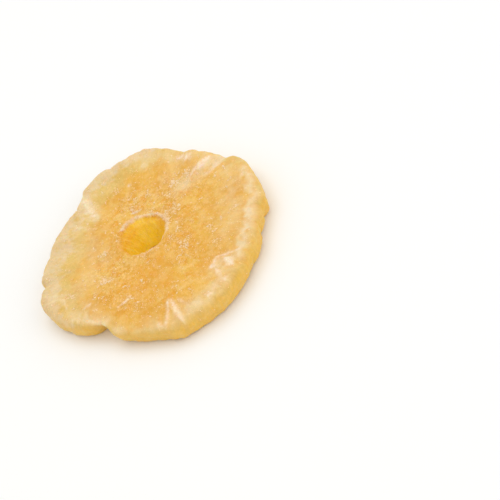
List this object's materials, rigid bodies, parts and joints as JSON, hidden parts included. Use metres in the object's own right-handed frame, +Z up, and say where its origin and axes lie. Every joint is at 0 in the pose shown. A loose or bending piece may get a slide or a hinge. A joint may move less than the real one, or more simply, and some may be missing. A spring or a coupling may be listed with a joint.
{
  "type": "dried pineapple ring",
  "caption": "Candied, dried pineapple ring lying flat: a cored slice with a lobed rim, furrows, a tapering centre hole and a sugared upper face.",
  "frame": {"origin": "centre of the bounding box in plan, at the underside that the ring rests on", "axes": "+Z up out of the sugared face, +Y along the ring's longest width"},
  "size_m": [0.0724, 0.0764, 0.0086],
  "materials": {
    "candied_flesh": "semi-matte translucent amber flesh, paler towards the rim",
    "sugar": "fine white sugar grains with small glints"
  },
  "bodies": {
    "root": {"pineapple_ring": "candied_flesh"}
  },
  "joints": []
}
